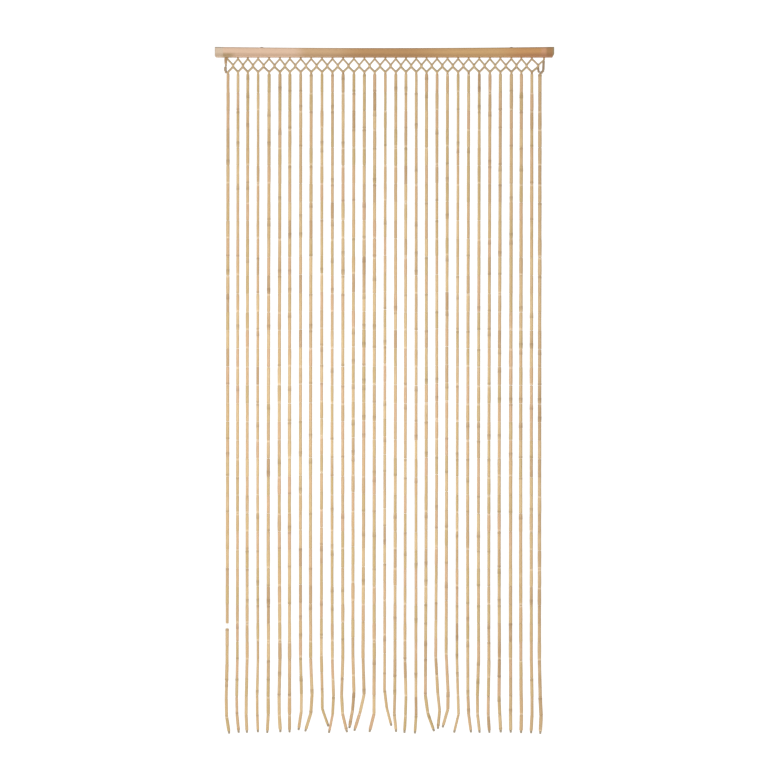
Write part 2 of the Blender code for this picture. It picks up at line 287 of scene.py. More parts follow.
# From and to, in mm from the rail's middle, and the tone that follows.
WOOD_TURNS = (
    (-275, -225, colour(200, 163, 121)),
    (-170, -60, colour(184, 140, 90)),
    (60, 220, colour(202, 161, 107)),
    (320, 400, colour(197, 145, 90)),
    (452, 463, colour(205, 151, 112)),
    (466, 476, colour(171, 126, 80)),
)
LONG_TURN = 10
PALE_BLOCK = (rail_low.x + 24.2 * MM, rail_low.x + 24.8 * MM)
LEFT_EDGE = (rail_low.x + 0.8 * MM, rail_low.x + 2 * MM)
BLOCK_TOP = (11.5 * MM, 13.5 * MM)
OLIVE_RISE, OLIVE_FALL = (-474 * MM, -470 * MM), (-452 * MM, -430 * MM)
OLIVE_TOP = (-8 * MM, 0)
# Height band of the painted shade on the lower edge.
LOWER_SHADE_TOP = (-12 * MM, 1 * MM)
LOWER_SHADE_RIGHT_START = (340 * MM, 440 * MM)
SHADED_TOP = (8.5 * MM, 12 * MM)
SHADED_START = (-200 * MM, 0)
# Where the painted shade of the right end begins.
RIGHT_END_SHADE = (rail_high.x - 5.5 * MM, rail_high.x - 4.5 * MM)
print("turns of tone along the rail:", len(WOOD_TURNS))


# %% Wood finish
def make_wood():
    wood = Finish("rail_wood", Coat_Weight=0.1, Coat_Roughness=0.35)
    place = wood.place()
    along = wood.axis(place, "X")
    height = wood.axis(place, "Z")
    bands = wood.noise(place, 14, 3, (0.12, 6, 6))
    pores = wood.noise(place, 120, 4, (0.06, 9, 9))
    drift = (wood.noise(place, 6, 2, (1, 1, 4)) - 0.5) * 0.05
    base = WOOD_START
    for start, end, tone in WOOD_TURNS:
        wander = drift if end - start > LONG_TURN else 0
        base = wood.mix(wood.steps(along + wander, start * MM, end * MM), base, tone)
    base = wood.mix(wood.steps(bands, 0.45, 0.75) * 0.35, base, colour(160, 118, 80))
    base = wood.mix(wood.steps(pores, 0.55, 0.8) * 0.22, base, colour(130, 92, 60))
    olive = wood.band(along, OLIVE_RISE, OLIVE_FALL) * (1 - wood.steps(height, *OLIVE_TOP))
    base = wood.mix(olive * 0.7, base, colour(168, 142, 92))
    pale = 1 - wood.steps(along, *PALE_BLOCK)
    base = wood.mix(pale * 0.8, base, colour(209, 188, 163))
    edge = pale * wood.steps(height, *BLOCK_TOP)
    edge = edge + (1 - edge) * (1 - wood.steps(along, *LEFT_EDGE))
    base = wood.mix(edge * 0.55, base, colour(118, 114, 106))
    # Painted shade darkens the lower edge.
    lower_shade = 1 - wood.steps(height, *LOWER_SHADE_TOP)
    base = wood.mix(lower_shade * 0.7, base, colour(208, 200, 190), "MULTIPLY")
    # The painted shade of the lower edge turns browner and deeper towards the right end.
    lower_shade_right = lower_shade * wood.steps(along, *LOWER_SHADE_RIGHT_START)
    base = wood.mix(lower_shade_right * 0.5, base, colour(160, 106, 70))
    shaded = wood.steps(height, *SHADED_TOP) * wood.steps(along, *SHADED_START)
    base = wood.mix(shaded * 0.25, base, colour(122, 106, 68))
    # Painted shade: the last few mm at the right end are darkened to a dark olive.
    base = wood.mix(wood.steps(along, *RIGHT_END_SHADE) * 0.7, base, colour(150, 138, 104))
    wood.join(base, "Base Color")
    wood.join(0.42 + 0.2 * pores, "Roughness")
    wood.bump(pores + bands * 0.6, 0.35, 0.3 * MM)
    return wood.material


wood_finish = make_wood()
print("wood nodes:", len(wood_finish.node_tree.nodes))

# %% [markdown]
# ## Bamboo
#
# Every tube is cut from another cane, so neighbours differ: pinkish, tan, olive,
# straw, now and then brown. Each tube therefore carries its own tone as a mesh
# attribute, and a grain attribute that is its own place along and round the tube,
# so fibres run along a leaning tube too. Where the cane had a joint its ring is
# darker, and on some tubes the skin near an end is paler. The cut ends and the bore
# are pale, raw and rough, while the skin keeps a faint waxy shine. The heading's
# small tubes are of the same skin, taken part of the way to a duller, greyer colour.

# %% Bamboo finish
SKIN_TONES = (
    (0.00, colour(206, 170, 133)),
    (0.25, colour(205, 173, 127)),
    (0.48, colour(195, 169, 118)),
    (0.66, colour(212, 184, 138)),
    (0.92, colour(195, 164, 122)),
    (1.00, colour(176, 141, 100)),
)


def set_ramp(ramp, stops):
    while len(ramp.elements) < len(stops):
        ramp.elements.new(1.0)
    for element, (position, value) in zip(ramp.elements, stops):
        element.position = position
        element.color = value


def make_bamboo(name, dull_skin, share):
    """Bamboo skin. share is how far the tones go to the dull colour."""
    cane = Finish(name, Coat_Weight=0.05, Coat_Roughness=0.35, Specular_IOR_Level=0.3)
    grain = cane.read("grain", "Vector")
    tone = cane.node("ShaderNodeValToRGB", {}, {"Fac": cane.read("tone")}, "Color")
    set_ramp(tone.socket.node.color_ramp, SKIN_TONES)
    fibres = cane.noise(grain, 900, 3, (1, 1, 0.03))
    clouds = cane.noise(grain, 90, 2, (1, 1, 0.35))
    skin = cane.mix(share, tone, dull_skin)
    skin = cane.mix(cane.steps(fibres, 0.45, 0.75) * 0.25, skin, colour(140, 108, 76))
    skin = cane.mix(cane.steps(clouds, 0.5, 0.8) * 0.3, skin, colour(222, 200, 168))
    ring = cane.read("ring")
    skin = cane.mix(ring * 0.36, skin, colour(118, 90, 62))
    skin = cane.mix(ring * -0.6, skin, colour(240, 216, 186))
    cut = cane.read("cut")
    skin = cane.mix(cut * 0.6, skin, colour(222, 203, 170))
    cane.join(skin, "Base Color")
    cane.join(0.36 + 0.12 * clouds + cut * 0.35, "Roughness")
    cane.bump(fibres, 0.3, 0.08 * MM)
    return cane.material


DULL_SKIN = colour(167, 151, 121)
bamboo_finish = make_bamboo("bamboo_skin", DULL_SKIN, 0.0)
heading_finish = make_bamboo("bamboo_heading", DULL_SKIN, 0.55)
foot_finish = make_bamboo("bamboo_foot", colour(142, 130, 112), 0.5)
print("bamboo nodes:", len(bamboo_finish.node_tree.nodes))

# %% [markdown]
# ## Thread and steel
#
# The thread is a pale waxed twine that shows only where two tubes part. Its knots
# at the tips are darker. The two hangers are plain dark steel, brushed across and a
# little worn.


# %% Thread and steel finishes
def make_thread(name, dark, light):
    thread = Finish(name, Sheen_Weight=0.3)
    twist = thread.noise(thread.place(), 1400, 2, (1, 1, 0.3))
    thread.join(thread.mix(twist, dark, light), "Base Color")
    thread.join(0.55 + 0.2 * twist, "Roughness")
    thread.bump(twist, 0.4, 0.1 * MM)
    return thread.material


def make_steel():
    steel = Finish("hanger_steel", Metallic=0.9)
    place = steel.place()
    brushed = steel.noise(place, 300, 3, (1, 1, 0.05))
    stains = steel.noise(place, 60, 2)
    base = steel.mix(stains, colour(72, 70, 66), colour(104, 101, 94))
    steel.join(base, "Base Color")
    steel.join(0.35 + 0.25 * brushed, "Roughness")
    steel.bump(brushed, 0.2, 0.05 * MM)
    return steel.material


thread_finish = make_thread("thread", colour(196, 182, 152), colour(226, 214, 190))
knot_finish = make_thread("knot_thread", colour(142, 127, 104), colour(178, 163, 138))
steel_finish = make_steel()
print("finishes:", [material.name for material in bpy.data.materials][-6:])

# %% [markdown]
# ## Reading the frame
#
# The frame's curtain is one solid: a lattice with square strands. A level cut
# through it shows where each strand is at that height, so cuts at the joints give
# every tube its two ends. The lower ends of some strands nearly touch, so the
# strands are first parted from the lattice and told apart by what they join.

# %% The curtain's solid, merged
HEADING_DROP = 47.5 * MM
CUT_LEVEL = rail_low.z - HEADING_DROP

solid = bmesh.new()
solid.from_mesh(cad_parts["bead_curtain"].data)
bmesh.ops.remove_doubles(solid, verts=solid.verts[:], dist=0.001 * MM)
print("curtain solid:", len(solid.verts), "points")


# %% Cuts and strands
def edges_of(verts):
    """The two ends of each edge of these points, as arrays."""
    edges = {edge for vert in verts for edge in vert.link_edges}
    ends = np.array([[vert.co[:] for vert in edge.verts] for edge in edges])
    return ends[:, 0], ends[:, 1]


def crossings(ends, level):
    """Where edges pass through a level."""
    low, high = ends
    passing = (low[:, 2] - level) * (high[:, 2] - level) < 0
    low, high = low[passing], high[passing]
    share = (level - low[:, 2]) / (high[:, 2] - low[:, 2])
    return low + share[:, None] * (high - low)


def islands(verts):
    """Groups of joined points, from left to right."""
    left = set(verts)
    groups = []
    while left:
        group = set()
        edge_of_group = [left.pop()]
        while edge_of_group:
            vert = edge_of_group.pop()
            group.add(vert)
            near = {edge.other_vert(vert) for edge in vert.link_edges} & left
            left -= near
            edge_of_group.extend(near)
        groups.append(group)
    return sorted(groups, key=lambda group: max(group, key=lambda vert: vert.co.z).co.x)


whole = edges_of(solid.verts)
strand_ends = [edges_of(group) for group in islands([v for v in solid.verts if v.co.z < CUT_LEVEL])]
print("strands:", len(strand_ends))

# %% Places along the heading
APART = 7.8 * MM
ROOT_CUT = 1 * MM
CROSSING_CUT = 24 * MM


def runs_at(drop):
    """Middle and width of each part of the curtain that a level cut meets, left to right.

    A space wider than APART ends one part and starts the next.
    """
    points = crossings(whole, rail_low.z - drop)
    points = points[np.argsort(points[:, 0])]
    breaks = np.where(np.diff(points[:, 0]) > APART)[0] + 1
    runs = []
    for group in np.split(points, breaks):
        low, high = group.min(0), group.max(0)
        runs.append(((low + high) / 2, high[0] - low[0]))
    return runs


roots = [centre[0] for centre, _ in runs_at(ROOT_CUT)]
left_tube, *knots, right_tube = [centre[0] for centre, _ in runs_at(CROSSING_CUT)]
print("roots:", len(roots), "crossings:", len(knots))

# %% [markdown]
# ## One tube
#
# A tube is a short cylinder, bored through and with its rims broken. It is modelled
# once by hand and copied for every place, so it stays light: ten sides, one small
# bevel at each rim and a few loops on the way. Two of the four tubes keep the growth
# ring that a cane has at its joints, and one is swollen near one end and pale at the
# other. Beads are made by the same steps with a belly, and knots with waists and
# drawn-in ends.

# %% Model the tubes
TUBE_SIDES = 10
TUBE_LENGTH = 52 * MM
TUBE_DIAMETER = 8.5 * MM
RIM = 0.45 * MM
NEAR = 0.02 * MM


class Pattern(NamedTuple):
    """A modelled tube as arrays, ready to be copied."""

    points: np.ndarray
    faces: list
    cut: np.ndarray
    ring: np.ndarray
    diameter: float
    length: float


def model_tube(name, diameter, length, bore, loops, ends=1.0):
    """Model a tube along Z and return it as a Pattern.

    loops are (share of the half length, share of the diameter, ring). A ring of 1 is
    dark skin, one of -1 is pale. ends is the share of the diameter at both ends.
    """
    bpy.ops.mesh.primitive_cylinder_add(vertices=TUBE_SIDES, radius=diameter / 2, depth=length)
    tube = bpy.context.object
    tube.name = name
    bpy.ops.object.mode_set(mode="EDIT")
    for at, girth, _ in loops:
        level = at * length / 2
        slice_all((0, 0, level), (0, 0, 1))
        pick("VERT", lambda point, level=level: abs(point.z - level) < NEAR)
        bpy.ops.transform.resize(value=(girth, girth, 1))
    pick("FACE", lambda point: abs(point.z) > length / 2 - NEAR)
    bpy.ops.transform.resize(value=(ends, ends, 1))
    bpy.ops.mesh.inset(thickness=(diameter * ends - bore) / 2 * math.cos(math.pi / TUBE_SIDES))
    bpy.ops.mesh.bridge_edge_loops()
    at_rim = diameter * ends / 2 - 2 * NEAR
    pick("EDGE", lambda point: abs(point.z) > length / 2 - NEAR and point.xy.length > at_rim)
    bpy.ops.mesh.bevel(offset=min(RIM, diameter / 12), segments=1)
    bpy.ops.mesh.select_all(action="SELECT")
    bpy.ops.mesh.normals_make_consistent(inside=False)
    bpy.ops.object.mode_set(mode="OBJECT")
    points = np.array([vert.co[:] for vert in tube.data.vertices])
    faces = [list(face.vertices) for face in tube.data.polygons]
    bpy.data.objects.remove(tube)
    reach = np.hypot(points[:, 0], points[:, 1])
    height = points[:, 2]
    cut = ((np.abs(height) > length / 2 - NEAR) | (reach < bore / 2 + 2 * NEAR)).astype(float)
    ring = np.zeros(len(points))
    for at, _, dark in loops:
        ring[np.abs(height - at * length / 2) < NEAR] = dark
    return Pattern(points, faces, cut, ring, diameter, length)


RINGED_TURNS = [(0.32, 1.0, 0.15), (0.42, 1.09, 1)]
KNUCKLED_TURNS = [(0.66, 1.0, 0.1), (0.84, 1.08, 1)]
SWOLLEN_TURNS = [(-0.7, 1.04, 0.1), (-0.5, 1.03, 0), (0.72, 1.0, 0), (0.9, 1.0, -1)]

PLAIN = model_tube("plain", TUBE_DIAMETER, TUBE_LENGTH, 4.4 * MM, [(0.2, 0.98, 0)])
RINGED = model_tube("ringed", TUBE_DIAMETER, TUBE_LENGTH, 4 * MM, RINGED_TURNS)
KNUCKLED = model_tube("knuckled", TUBE_DIAMETER, TUBE_LENGTH, 4 * MM, KNUCKLED_TURNS)
SWOLLEN = model_tube("swollen", TUBE_DIAMETER, TUBE_LENGTH, 4.6 * MM, SWOLLEN_TURNS)
LONG_TUBES = [PLAIN, RINGED, KNUCKLED, SWOLLEN]
TUBE_SHARES = (6, 3, 2.5, 3)
print("faces of each tube:", [len(tube.faces) for tube in LONG_TUBES])

# %% Small tubes, beads and knots
KNOT_LENGTH = 8 * MM
KNOT_TURNS = [(-0.6, 0.98, 0), (-0.35, 0.86, 0), (-0.05, 1.04, 0), (0.25, 0.88, 0), (0.55, 0.96, 0)]

LEG_TUBE = model_tube("leg", 4.4 * MM, 15 * MM, 2 * MM, [(0.3, 0.97, 0)])
SEED_BEAD = model_tube("seed", 4.4 * MM, 5.4 * MM, 2 * MM, [(0, 1.14, 0)])
KNOT = model_tube("knot", 8 * MM, KNOT_LENGTH, 1.6 * MM, KNOT_TURNS, 0.7)
small_tubes = (LEG_TUBE, SEED_BEAD, KNOT)
print("faces of a leg, a bead and a knot:", [len(tube.faces) for tube in small_tubes])

# %% [markdown]
# ## Threading
#
# A copy is laid from one end to the other: its girth is scaled, and its length is
# stretched only between the rims, so the small bevels keep their size. A bamboo
# tube is never quite straight or round, so each copy is bowed and flattened by a
# hair. All tubes of one strand are joined in one mesh, each with its own tone.


# %% Lay copies of a pattern
OUT_OF_ROUND = 0.04
LARGEST_BOW = 0.006
GRAIN_SHIFT = 9


class Laid(NamedTuple):
    """One tube in its place: from start to end, in metres."""

    pattern: Pattern
    start: np.ndarray
    end: np.ndarray
    diameter: float
    tone: float


def copy_of(laid, chance):
    """Points of a laid tube, and the same points in the tube's own axes."""
    axis = laid.end - laid.start
    length = np.linalg.norm(axis)
    axis = axis / length
    side = np.cross(axis, (0.0, 1.0, 0.0))
    side /= np.linalg.norm(side)
    front = np.cross(axis, side)
    turn = chance.uniform(0, math.tau)
    pattern = laid.pattern
    own = pattern.points.copy()
    keep = 2 * RIM
    old, new = pattern.length / 2, length / 2
    height = np.abs(own[:, 2])
    inner = height * (new - keep) / (old - keep)
    own[:, 2] = np.sign(own[:, 2]) * np.where(height > old - keep, new - (old - height), inner)
    flat = 1 + chance.uniform(-OUT_OF_ROUND, OUT_OF_ROUND)
    own[:, :2] *= laid.diameter / pattern.diameter
    own[:, 0] *= flat
    own[:, 1] /= flat
    bow = chance.uniform(-LARGEST_BOW, LARGEST_BOW) * length
    own[:, 0] += bow * (1 - (own[:, 2] / new) ** 2)
    cos, sin = math.cos(turn), math.sin(turn)
    across = own[:, 0] * cos - own[:, 1] * sin
    forth = own[:, 0] * sin + own[:, 1] * cos
    middle = (laid.start + laid.end) / 2
    placed = middle + across[:, None] * side + forth[:, None] * front + own[:, 2:] * axis
    shift = [chance.uniform(0, GRAIN_SHIFT) for _ in range(3)]
    return placed, own + np.array(shift)


def threaded(name, tubes, finish, chance):
    """One piece made of laid tubes."""
    points, grain, faces = [], [], []
    count = 0
    for laid in tubes:
        placed, own = copy_of(laid, chance)
        points.append(placed)
        grain.append(own)
        faces += [[corner + count for corner in face] for face in laid.pattern.faces]
        count += len(placed)
    mesh = bpy.data.meshes.new(name)
    mesh.from_pydata(np.concatenate(points).tolist(), [], faces)
    values = {
        "tone": np.concatenate([np.full(len(laid.pattern.points), laid.tone) for laid in tubes]),
        "cut": np.concatenate([laid.pattern.cut for laid in tubes]),
        "ring": np.concatenate([laid.pattern.ring for laid in tubes]),
    }
    for key, value in values.items():
        mesh.attributes.new(key, "FLOAT", "POINT").data.foreach_set("value", value)
    own = np.concatenate(grain).ravel()
    mesh.attributes.new("grain", "FLOAT_VECTOR", "POINT").data.foreach_set("vector", own)
    mesh.materials.append(finish)
    piece = bpy.data.objects.new(name, mesh)
    bpy.context.scene.collection.objects.link(piece)
    smooth(piece, 40)
    return piece


print("one straight tube has", len(PLAIN.points), "points")

# %% [markdown]
# ## Strands
#
# A level cut at each joint gives the line of a strand. Most tubes butt together;
# about one joint in four has opened by a hair, at the same joints as in the solid.
# The first strand has one wide gap low down, with the thread bare, and the last is a
# little thicker and browner. Each thread ends in a knot under its last tube, which
# carries all the others.

# %% Thread the strands
TUBES = 36
TIGHT = 0.15 * MM
PARTED = 0.38 * MM
STRAND_TOP_DROP = 49 * MM
END_CORNERS = 4
OPEN_STRAND = 0
OPEN_JOINT = 30
OPEN_DROP = 1654 * MM
OPEN_GAP = 17 * MM
MEASURED_TUBES = 9
GAP_SPREAD = (0.7, 1.3)
GIRTH_SPREAD = (1.03, 1.11)
TONE_END = 0.97
LAST_STRAND = len(strand_ends) - 1
LAST_TONE = 0.8
LAST_GIRTH = 1.08
SEED = 31


def is_parted(strand, joint):
    """The rule by which the solid has a neck at a joint: three joints in eleven."""
    return (7 * joint + 5 * strand) % 11 < 3


def middle_at(ends, level):
    """Middle and width of a strand at a level."""
    points = crossings(ends, level)
    low, high = points.min(0), points.max(0)
    return (low + high) / 2, high[0] - low[0]


def end_middle(ends):
    """Middle of the strand's lower end, whose corners are its lowest points."""
    points = np.unique(np.concatenate(ends).round(7), axis=0)
    return points[np.argsort(points[:, 2])[:END_CORNERS]].mean(0)


def joint_levels(number, ends):
    """(level, half of the gap) of each joint of a strand, from its top to its tip."""
    top, tip = rail_low.z - STRAND_TOP_DROP, end_middle(ends)[2]
    levels = np.linspace(top, tip, TUBES + 1)
    gaps = [PARTED if is_parted(number, joint) else TIGHT for joint in range(TUBES + 1)]
    if number == OPEN_STRAND:
        opening, half = rail_low.z - OPEN_DROP, OPEN_GAP / 2
        levels[:OPEN_JOINT] = np.linspace(top, opening + half, OPEN_JOINT + 1)[:-1]
        levels[OPEN_JOINT:] = np.linspace(opening - half, tip, TUBES + 1 - OPEN_JOINT)
        levels[OPEN_JOINT] = opening
        gaps[OPEN_JOINT] = half
    gaps[0], gaps[-1] = 0, KNOT_LENGTH
    return list(zip(levels, gaps))


def strand_line(ends, levels):
    """The strand's middle at each joint. The top is read a hair inside the solid."""
    line = []
    for place, (level, _) in enumerate(levels[:-1]):
        centre, _ = middle_at(ends, level - NEAR if place == 0 else level)
        line.append(np.array([centre[0], centre[1], level]))
    return [*line, end_middle(ends)]


def strand_tubes(number, ends, chance):
    """The laid tubes of a strand, and its line. The girth is that of its upper tubes."""
    levels = joint_levels(number, ends)
    line = strand_line(ends, levels)
    upper = zip(levels[:MEASURED_TUBES], levels[1:])
    widths = [middle_at(ends, (above[0] + below[0]) / 2)[1] for above, below in upper]
    is_last = number == LAST_STRAND
    girth = float(np.median(widths)) * (LAST_GIRTH if is_last else 1)
    tubes = []
    for place in range(TUBES):
        start, end = line[place], line[place + 1]
        step = (end - start) / np.linalg.norm(end - start)
        start = start + step * levels[place][1] * chance.uniform(*GAP_SPREAD)
        below = 1 if place == TUBES - 1 else chance.uniform(*GAP_SPREAD)
        end = end - step * levels[place + 1][1] * below
        pattern = chance.choices(LONG_TUBES, TUBE_SHARES)[0]
        if chance.random() < 0.5:
            start, end = end, start
        diameter = girth * chance.uniform(*GIRTH_SPREAD)
        tone = chance.uniform(LAST_TONE if is_last else 0, TONE_END)
        tubes.append(Laid(pattern, start, end, diameter, tone))
    return tubes, line


chance = random.Random(SEED)
strands = []
lines = []
for number, ends in enumerate(strand_ends):
    tubes, line = strand_tubes(number, ends, chance)
    strands.append(threaded(f"strand_{number + 1:02d}", tubes, bamboo_finish, chance))
    lines.append(line)

ties = []
for line in lines:
    step = (line[-1] - line[-2]) / np.linalg.norm(line[-1] - line[-2])
    ties.append(Laid(KNOT, line[-1] - step * KNOT_LENGTH, line[-1], KNOT.diameter, 0))
tip_knots = threaded("tip_knots", ties, knot_finish, chance)
print("strands:", len(strands), "knots:", len(ties))
print("faces in the first strand:", len(strands[0].data.polygons))

# %% [markdown]
# ## The heading
#
# Each diamond has four thin tubes. Two threads leave a root bead under the rail,
# part to both sides, meet their neighbours in a short bead and come together again
# at the strand. The tubes are cut to meet corner to corner at each point, so that
# hardly any thread shows. At the left end a brown tube hangs from the rail and
# closes the row with three short ones, and at the right end a brown tube and a loop
# of short ones do.

# %% Places of the heading
ROOT_DROP = 4.5 * MM
CROSSING_DROPS = (22.5 * MM, 27.5 * MM)
POINT_DROP = 42.5 * MM
LAST_ROOT_DROP = 7.5 * MM
LAST_POINT_DROP = 45 * MM
UPPER_WIDTH = 5.6 * MM
LOWER_WIDTH = 6.6 * MM
LEG_REACH = 1.6 * MM


def at(x, drop):
    """A point in the curtain's plane."""
    return np.array([x, curtain_plane, rail_low.z - drop])


def between(start, end, short=LEG_REACH):
    """The stretch from one point to another, a little short of both."""
    step = (end - start) / np.linalg.norm(end - start)
    return start + step * short, end - step * short


last = len(roots) - 1
root_drops = [ROOT_DROP] * last + [LAST_ROOT_DROP]
point_drops = [POINT_DROP] * last + [LAST_POINT_DROP]
root_points = [at(x, drop) for x, drop in zip(roots, root_drops)]
tip_points = [at(line[0][0], drop) for line, drop in zip(lines, point_drops)]
print("first and last root, mm:", [round(roots[i] / MM, 1) for i in (0, last)])

# %% Thread the diamonds
BEAD_REACH = 1.3 * MM
CROSSING_REACH = 1 * MM
CROSSING_WIDTH = 7 * MM
ROOT_WIDTH = 5.2 * MM
ROOT_TOP_DROP = 0.2 * MM
NECK_WIDTH = 6.2 * MM
NECK_FOOT_DROP = STRAND_TOP_DROP - 0.3 * MM
CROSSING_TONES = (0.6, 0.92)
# The root beads take the browner tones as painted shade under the rail.
ROOT_SHADE_TONES = (0.88, 1)
NECK_TONES = (0.7, 1)

diamonds = []
for number, x in enumerate(knots):
    top, bottom = (at(x, drop) for drop in CROSSING_DROPS)
    for beside in (number, number + 1):
        upper = between(root_points[beside], top)
        diamonds.append(Laid(LEG_TUBE, *upper, UPPER_WIDTH, chance.random()))
        if beside < last:
            lower = between(bottom, tip_points[beside])
            diamonds.append(Laid(LEG_TUBE, *lower, LOWER_WIDTH, chance.random()))
legs = threaded("heading_legs", diamonds, heading_finish, chance)

beads = []
for x in knots:
    top, foot = at(x, CROSSING_DROPS[0] - CROSSING_REACH), at(x, CROSSING_DROPS[1] + CROSSING_REACH)
    beads.append(Laid(SEED_BEAD, top, foot, CROSSING_WIDTH, chance.uniform(*CROSSING_TONES)))
# Root beads, with browner tones as painted shade under the rail.
for number, x in enumerate(roots):
    top, foot = at(x, ROOT_TOP_DROP), root_points[number] - np.array([0, 0, BEAD_REACH])
    beads.append(Laid(SEED_BEAD, top, foot, ROOT_WIDTH, chance.uniform(*ROOT_SHADE_TONES)))
for number, point in enumerate(tip_points):
    top = point + np.array([0, 0, BEAD_REACH if number < last else -BEAD_REACH])
    foot = at(point[0], NECK_FOOT_DROP)
    beads.append(Laid(SEED_BEAD, top, foot, NECK_WIDTH, chance.uniform(*NECK_TONES)))
small_beads = threaded("heading_beads", beads, bamboo_finish, chance)
print("thin tubes:", len(diamonds), "beads:", len(beads))

# %% Close the row at both ends
LEFT_WIDTH = 8 * MM
RIGHT_WIDTH = 7.4 * MM
FIRST_LINK_WIDTH = 5 * MM
LEFT_FOOT_WIDTH = 7.4 * MM
LOOP_LEFT_WIDTH = 6.2 * MM
LOOP_RIGHT_WIDTH = 7.2 * MM
OLIVE, BROWN = 0.45, 1.0


def steps_from(x, *steps):
    """Points at steps of (sideways, drop), in mm, from a place along the rail."""
    return [at(x + aside * MM, drop * MM) for aside, drop in steps]


left_line = steps_from(left_tube, (-0.5, 1.5), (0, 20))
left_laid = Laid(SWOLLEN, *left_line, LEFT_WIDTH, BROWN)
left_side = threaded("heading_left_tube", [left_laid], bamboo_finish, chance)
right_line = steps_from(right_tube, (1, 10), (0, 36.5))
right_laid = Laid(PLAIN, *right_line, RIGHT_WIDTH, BROWN)
right_side = threaded("heading_right_tube", [right_laid], foot_finish, chance)

last_tip = tip_points[last][0]
first_link = steps_from(left_tube, (0.3, 20.4), (0, 26.6))
left_foot = steps_from(left_tube, (-1, 27.5), (-1.5, 40)) + steps_from(roots[0], (-1, 45))
loop_left = steps_from(knots[-1], (0, 29), (0.2, 38)) + steps_from(last_tip, (-2.2, 44.5))
loop_right = steps_from(right_tube, (0, 37), (-2, 42)) + steps_from(last_tip, (2.2, 45.5))
feet = [Laid(SEED_BEAD, *first_link, FIRST_LINK_WIDTH, OLIVE)]
short_ones = (
    (left_foot, LEFT_FOOT_WIDTH),
    (loop_left, LOOP_LEFT_WIDTH),
    (loop_right, LOOP_RIGHT_WIDTH),
)
for points, width in short_ones:
    for start, end in zip(points, points[1:]):
        feet.append(Laid(SEED_BEAD, start, end, width, BROWN))
side_feet = threaded("heading_feet", feet, foot_finish, chance)
print("feet:", len(feet))

# %% [markdown]
# ## The thread
#
# The twine runs from the rail down both sides of each diamond and on through the
# strand, and ends inside the knot, a little above the tip. As a bevelled curve along
# the same points it shows wherever tubes part.

# %% Run the thread
THREAD_RADIUS = 0.55 * MM
THREAD_START_DROP = -9 * MM
THREAD_STOP = 0.05


def run_thread(name, paths):
    """One piece of twine that follows several paths."""
    curve = bpy.data.curves.new(name, "CURVE")
    curve.dimensions = "3D"
    curve.bevel_depth = THREAD_RADIUS
    curve.bevel_resolution = 1
    curve.use_fill_caps = True
    for path in paths:
        spline = curve.splines.new("POLY")
        spline.points.add(len(path) - 1)
        for point, place in zip(spline.points, path):
            point.co = (*place, 1)
    piece = bpy.data.objects.new(name, curve)
    bpy.context.scene.collection.objects.link(piece)
    only(piece)
    bpy.ops.object.convert(target="MESH")
    piece.data.materials.append(thread_finish)
    smooth(piece, 60)
    return piece


def side_paths():
    """The threads of the heading, from the rail to the strands."""
    paths = []
    for number in range(len(roots)):
        top = at(roots[number], THREAD_START_DROP)
        ways = [knots[place] for place in (number - 1, number) if 0 <= place < len(knots)]
        for x in ways:
            path = [top, root_points[number], *(at(x, drop) for drop in CROSSING_DROPS)]
            if number == last:
                path += loop_left
            paths.append([*path, tip_points[number], lines[number][0]])
    for top, foot in (([at(left_tube, 0)], left_foot), ([root_points[last]], loop_right)):
        paths.append([*top, *foot])
    paths[-2].append(tip_points[0])
    paths[-1].append(tip_points[last])
    return paths


heading_thread = run_thread("heading_thread", side_paths())
strand_paths = [[*line[:-1], line[-1] + (line[-2] - line[-1]) * THREAD_STOP] for line in lines]
strand_thread = run_thread("strand_thread", strand_paths)
print("thread faces:", len(heading_thread.data.polygons) + len(strand_thread.data.polygons))

# %% [markdown]
# ## The rail
#
# The rail starts as a block of its three sizes. Loops cut across it let its top
# edge sink by 3.5 mm in the middle, two slanted cuts take off the lower corners, and
# a wide bevel all round the front face gives the soft, worn front.

# %% Block out the rail
TOP_HOLLOW = 3.5 * MM
STATIONS = 24

rail_size = rail_high - rail_low
rail_centre = (rail_low + rail_high) / 2
bpy.ops.object.select_all(action="DESELECT")
bpy.ops.mesh.primitive_cube_add(size=1, location=rail_centre, scale=rail_size)
rail = bpy.context.object
rail.name = "rail_bar"
bpy.ops.object.transform_apply(location=True, rotation=False, scale=True)
bpy.ops.object.mode_set(mode="EDIT")
stations = [rail_low.x + rail_size.x * place / STATIONS for place in range(1, STATIONS)]
for x in stations:
    slice_all((x, 0, 0), (1, 0, 0))
for x in stations:
    sink = TOP_HOLLOW * (1 - (2 * x / rail_size.x) ** 2)
    pick("VERT", lambda p, x=x: abs(p.x - x) < MM and p.z > rail_centre.z)
    bpy.ops.transform.translate(value=(0, 0, -sink))
print("rail points:", len(rail.data.vertices))

# %% Cut the corners and round the front
LEFT_CORNER = 4 * MM
RIGHT_CORNER = (5 * MM, 9 * MM)
FRONT_ROUND = 4 * MM
BACK_ROUND = 0.6 * MM

cuts = {"clear_outer": True, "use_fill": True}
slice_all((rail_low.x + LEFT_CORNER, 0, rail_low.z), (-1, 0, -1), **cuts)
wide, tall = RIGHT_CORNER
slice_all((rail_high.x - wide, 0, rail_low.z), (tall, 0, -wide), **cuts)
for plane, width, segments in ((rail_low.y, FRONT_ROUND, 8), (rail_high.y, BACK_ROUND, 2)):
    pick("FACE", lambda p, plane=plane: abs(p.y - plane) < NEAR)
    bpy.ops.mesh.region_to_loop()
    bpy.ops.mesh.bevel(offset=width, segments=segments, profile=0.5, affect="EDGES")
bpy.ops.object.mode_set(mode="OBJECT")
print("rail faces after rounding:", len(rail.data.polygons))

# %% [markdown]
# Holes are bored up into the underside for the roots, and two slots are let into
# the back for the hanger plates. Both are cut with Boolean modifiers. The drills are
# joined first, so that all the holes are one cut.

